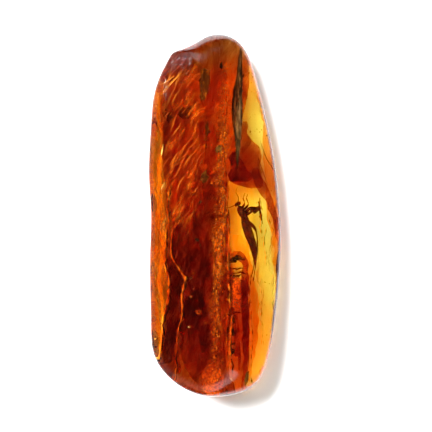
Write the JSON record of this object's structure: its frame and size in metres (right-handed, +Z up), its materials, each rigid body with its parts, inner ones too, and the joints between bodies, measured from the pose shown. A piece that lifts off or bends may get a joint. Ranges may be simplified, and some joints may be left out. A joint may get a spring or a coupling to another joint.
{
  "type": "insect in amber",
  "caption": "Long polished piece of clear red-orange amber lying flat, with an insect, plant debris, bubbles and resin flow layers sealed inside.",
  "frame": {"origin": "centre of the piece seen from above, on the surface it lies on", "axes": "+Y along the piece towards its narrow slanted end, +X towards the thin clear side, +Z up"},
  "size_m": [0.022, 0.06, 0.0131],
  "materials": {
    "amber": "polished",
    "insect": "satin",
    "plant_debris": "matte"
  },
  "bodies": {
    "root": {"amber": "amber"}
  },
  "joints": []
}
